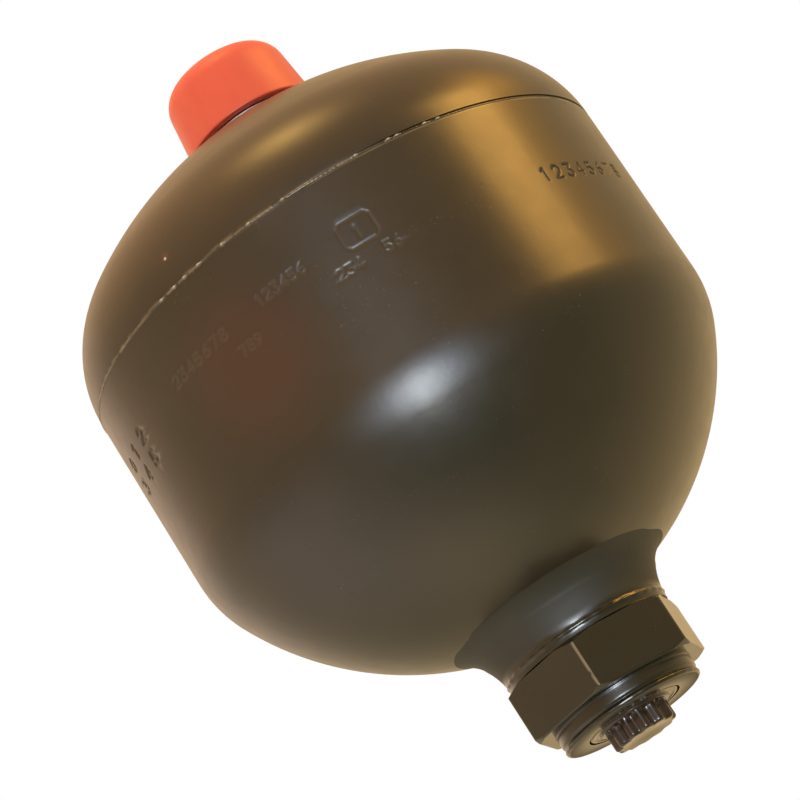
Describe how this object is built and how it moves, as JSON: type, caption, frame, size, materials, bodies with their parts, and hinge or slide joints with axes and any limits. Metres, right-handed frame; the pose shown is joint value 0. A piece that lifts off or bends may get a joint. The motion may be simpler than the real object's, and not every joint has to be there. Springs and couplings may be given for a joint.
{
  "type": "bladder accumulator",
  "caption": "Pear-shaped welded steel pressure vessel with a hexagon fluid port below, a capped gas valve on top and a moulded rubber bladder inside.",
  "frame": {"origin": "centre of the fluid port's sealing face, the flat ring at the end of the collar below the hexagon", "axes": "+Z along the vessel axis from the fluid port to the gas valve; flats of the hexagon face +X and -X; -Y is the side that carries the punch marks"},
  "size_m": [0.136, 0.136, 0.193],
  "materials": {
    "vessel_paint": "satin",
    "zinc_steel": "satin",
    "inner_steel": "satin",
    "bladder_rubber": "matte",
    "seal_rubber": "satin",
    "cap_plastic": "satin",
    "plug_plastic": "gloss"
  },
  "bodies": {
    "vessel": {"lower_shell": "vessel_paint", "upper_shell": "vessel_paint", "seam_weld": "vessel_paint", "port_fitting": "vessel_paint", "port_weld": "vessel_paint", "bladder": "bladder_rubber", "clamp_ring": "inner_steel", "gas_boss": "zinc_steel", "gas_boss_weld": "vessel_paint", "charging_seal": "seal_rubber"},
    "plate": {"closing_plate": "inner_steel"},
    "screw": {"charging_screw": "zinc_steel"},
    "cap": {"valve_cap": "cap_plastic"},
    "plug": {"port_plug": "plug_plastic"}
  },
  "joints": [
    {"name": "plug_pull", "type": "slide", "parent": "vessel", "child": "plug", "axis": [0, 0, -1], "range_m": [0, 0.07]},
    {"name": "cap_lift", "type": "slide", "parent": "vessel", "child": "cap", "axis": [0, 0, 1], "range_m": [0, 0.035]},
    {"name": "screw_turn", "type": "hinge", "parent": "vessel", "child": "screw", "pos_m": [0, 0, 0.177], "axis": [0, 0, 1], "range_deg": [0, 540]},
    {"name": "plate_lift", "type": "slide", "parent": "vessel", "child": "plate", "axis": [0, 0, 1], "range_m": [0, 0.045], "stiffness_N_per_m": 40, "springref_m": -0.006, "deforming": ["bladder"]}
  ]
}
